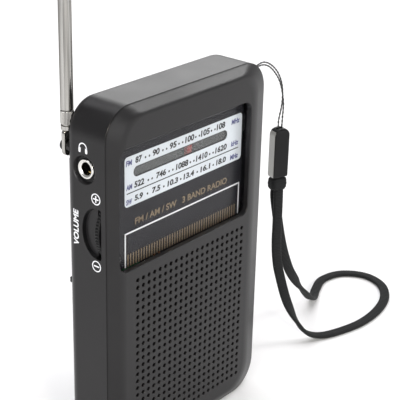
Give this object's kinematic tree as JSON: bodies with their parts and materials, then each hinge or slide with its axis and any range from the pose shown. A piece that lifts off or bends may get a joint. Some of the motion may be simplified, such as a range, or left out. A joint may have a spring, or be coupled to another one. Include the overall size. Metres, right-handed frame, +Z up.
{
  "type": "pocket radio",
  "caption": "Upright pocket radio with a printed dial window, perforated speaker grille, thumbwheels in both sides, telescopic antenna and wrist strap.",
  "frame": {"origin": "centre of the radio's outline, antenna included and strap left out, on the surface it stands on", "axes": "+Z up along the case and the raised antenna, +X to the right seen from the front, the speaker face looks to -Y"},
  "size_m": [0.1349, 0.0267, 0.1375],
  "materials": {
    "charcoal_plastic": "fine matte texture",
    "black_plastic": "smooth",
    "grey_plastic": "smooth",
    "clear_acrylic": "clear glossy sheet",
    "printed_dial": "printed scale",
    "red_pointer": "smooth",
    "black_thread": "woven",
    "board_green": "solder mask",
    "plated_steel": "plated",
    "chrome": "polished",
    "enamelled_copper": "enamelled wire",
    "cone_paper": "pressed paper",
    "battery_jacket": "printed sleeve"
  },
  "bodies": {
    "case": {"front_shell": "charcoal_plastic", "rear_shell": "charcoal_plastic", "window_lens": "clear_acrylic", "dial_plate": "printed_dial", "pointer_rail": "grey_plastic", "dial_cord": "black_thread", "tuning_control": "grey_plastic", "volume_control": "grey_plastic", "headphone_jack": "black_plastic", "jack_ring": "plated_steel", "circuit_board": "board_green", "radio_chip": "black_plastic", "audio_chip": "black_plastic", "crystal": "plated_steel", "capacitor_1": "black_plastic", "capacitor_2": "black_plastic", "ferrite_rod": "black_plastic", "aerial_coil": "enamelled_copper", "board_screw_1": "plated_steel", "board_screw_2": "plated_steel", "speaker_wire_1": "enamelled_copper", "speaker_wire_2": "enamelled_copper", "speaker_frame": "plated_steel", "speaker_cone": "cone_paper", "speaker_magnet": "plated_steel", "grille_cloth": "black_thread", "band_switch": "plated_steel", "battery_1": "battery_jacket", "battery_2": "battery_jacket", "battery_spring_1": "plated_steel", "battery_spring_2": "plated_steel", "contact_left": "plated_steel", "contact_right": "plated_steel", "antenna_screw": "black_plastic", "case_screw_1": "plated_steel", "case_screw_2": "plated_steel", "case_screw_3": "plated_steel", "case_screw_4": "plated_steel", "strap_clamp": "black_plastic", "strap_sleeve": "black_thread", "strap_string": "black_thread", "strap_ribbon": "black_thread"},
    "tuning": {"tuning_wheel": "black_plastic"},
    "pointer": {"dial_pointer": "red_pointer"},
    "volume": {"volume_wheel": "black_plastic"},
    "band": {"band_switch_knob": "black_plastic"},
    "cover": {"battery_cover": "charcoal_plastic"},
    "antenna": {"antenna_base": "chrome", "antenna_section_1": "chrome"},
    "antenna_middle": {"antenna_section_2": "chrome"},
    "antenna_upper": {"antenna_section_3": "chrome"},
    "antenna_rod": {"antenna_tip": "chrome"}
  },
  "joints": [
    {"name": "tuning_turn", "type": "hinge", "parent": "case", "child": "tuning", "pos_m": [0.0196, -0.0042, 0.0647], "axis": [0, 1, 0], "range_deg": [-147, 99]},
    {"name": "pointer_slide", "type": "slide", "parent": "case", "child": "pointer", "axis": [1, 0, 0], "range_m": [-0.0191, 0.0129]},
    {"name": "volume_turn", "type": "hinge", "parent": "case", "child": "volume", "pos_m": [-0.0196, -0.0042, 0.0647], "axis": [0, 1, 0], "range_deg": [-130, 130]},
    {"name": "band_slide", "type": "slide", "parent": "case", "child": "band", "axis": [1, 0, 0], "range_m": [0, 0.005]},
    {"name": "cover_slide", "type": "slide", "parent": "case", "child": "cover", "axis": [0, 0, -1], "range_m": [0, 0.024]},
    {"name": "antenna_swivel", "type": "hinge", "parent": "case", "child": "antenna", "pos_m": [-0.0273, 0.0068, 0.0835], "axis": [0, 1, 0], "range_deg": [0, 90]},
    {"name": "antenna_slide_1", "type": "slide", "parent": "antenna", "child": "antenna_middle", "axis": [0, 0, 1], "range_m": [0, 0.036]},
    {"name": "antenna_slide_2", "type": "slide", "parent": "antenna_middle", "child": "antenna_upper", "axis": [0, 0, 1], "range_m": [0, 0.036]},
    {"name": "antenna_slide_3", "type": "slide", "parent": "antenna_upper", "child": "antenna_rod", "axis": [0, 0, 1], "range_m": [0, 0.036]}
  ],
  "couplings": [
    {"joint": "pointer_slide", "follows": "tuning_turn", "m_per_rad": 0.0074}
  ]
}
